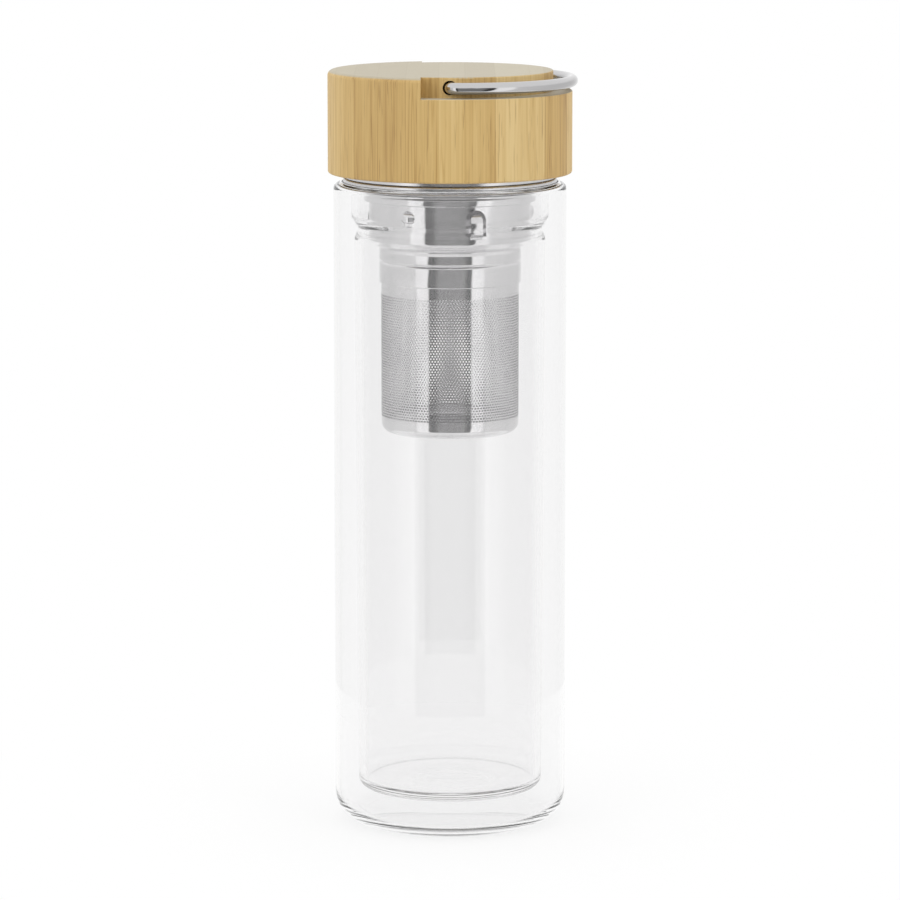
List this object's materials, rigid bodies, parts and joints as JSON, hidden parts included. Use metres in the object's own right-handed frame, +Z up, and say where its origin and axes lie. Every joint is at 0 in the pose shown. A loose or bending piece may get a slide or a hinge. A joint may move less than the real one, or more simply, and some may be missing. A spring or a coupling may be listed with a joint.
{
  "type": "infuser bottle",
  "caption": "Double-walled clear glass bottle with a lift-out perforated steel infuser and a bamboo screw lid with a folding wire carrying loop.",
  "frame": {"origin": "centre of the flat glass base, on the bottle's axis", "axes": "+Z up along the bottle's axis, the carrying loop lies folded towards +X and its pivot runs along Y"},
  "size_m": [0.0716, 0.07, 0.2184],
  "materials": {
    "clear_glass": "clear borosilicate glass, fire polished",
    "infuser_steel": "drawn stainless sheet, satin to bright",
    "polished_steel": "polished stainless",
    "bamboo": "laminated bamboo, lightly oiled",
    "white_plastic": "moulded polypropylene",
    "silicone": "translucent food-grade silicone"
  },
  "bodies": {
    "bottle": {"outer_jacket": "clear_glass", "inner_vessel": "clear_glass"},
    "infuser": {"infuser_collar": "infuser_steel", "perforated_sleeve": "infuser_steel", "basket_base": "infuser_steel"},
    "lid_seal": {"lid_gasket": "silicone"},
    "lid_plate": {"liner_disc": "polished_steel"},
    "lid": {"bamboo_cap": "bamboo", "thread_insert": "white_plastic", "neck_ring": "polished_steel"},
    "loop": {"carry_loop": "polished_steel"}
  },
  "joints": [
    {"name": "infuser_lift", "type": "slide", "parent": "bottle", "child": "infuser", "axis": [0, 0, 1], "range_m": [0, 0.11]},
    {"name": "lid_lift", "type": "slide", "parent": "infuser", "child": "lid_seal", "axis": [0, 0, 1], "range_m": [0, 0.06]},
    {"name": "lid_rise", "type": "slide", "parent": "lid_seal", "child": "lid_plate", "axis": [0, 0, 1], "range_m": [0, 0.005]},
    {"name": "lid_turn", "type": "hinge", "parent": "lid_plate", "child": "lid", "pos_m": [0, 0, 0.2], "axis": [0, 0, 1], "range_deg": [0, 450]},
    {"name": "loop_swing", "type": "hinge", "parent": "lid", "child": "loop", "pos_m": [0, 0, 0.2154], "axis": [0, -1, 0], "range_deg": [0, 140]}
  ],
  "couplings": [
    {"joint": "lid_rise", "follows": "lid_turn", "m_per_rad": 0.00063662}
  ]
}
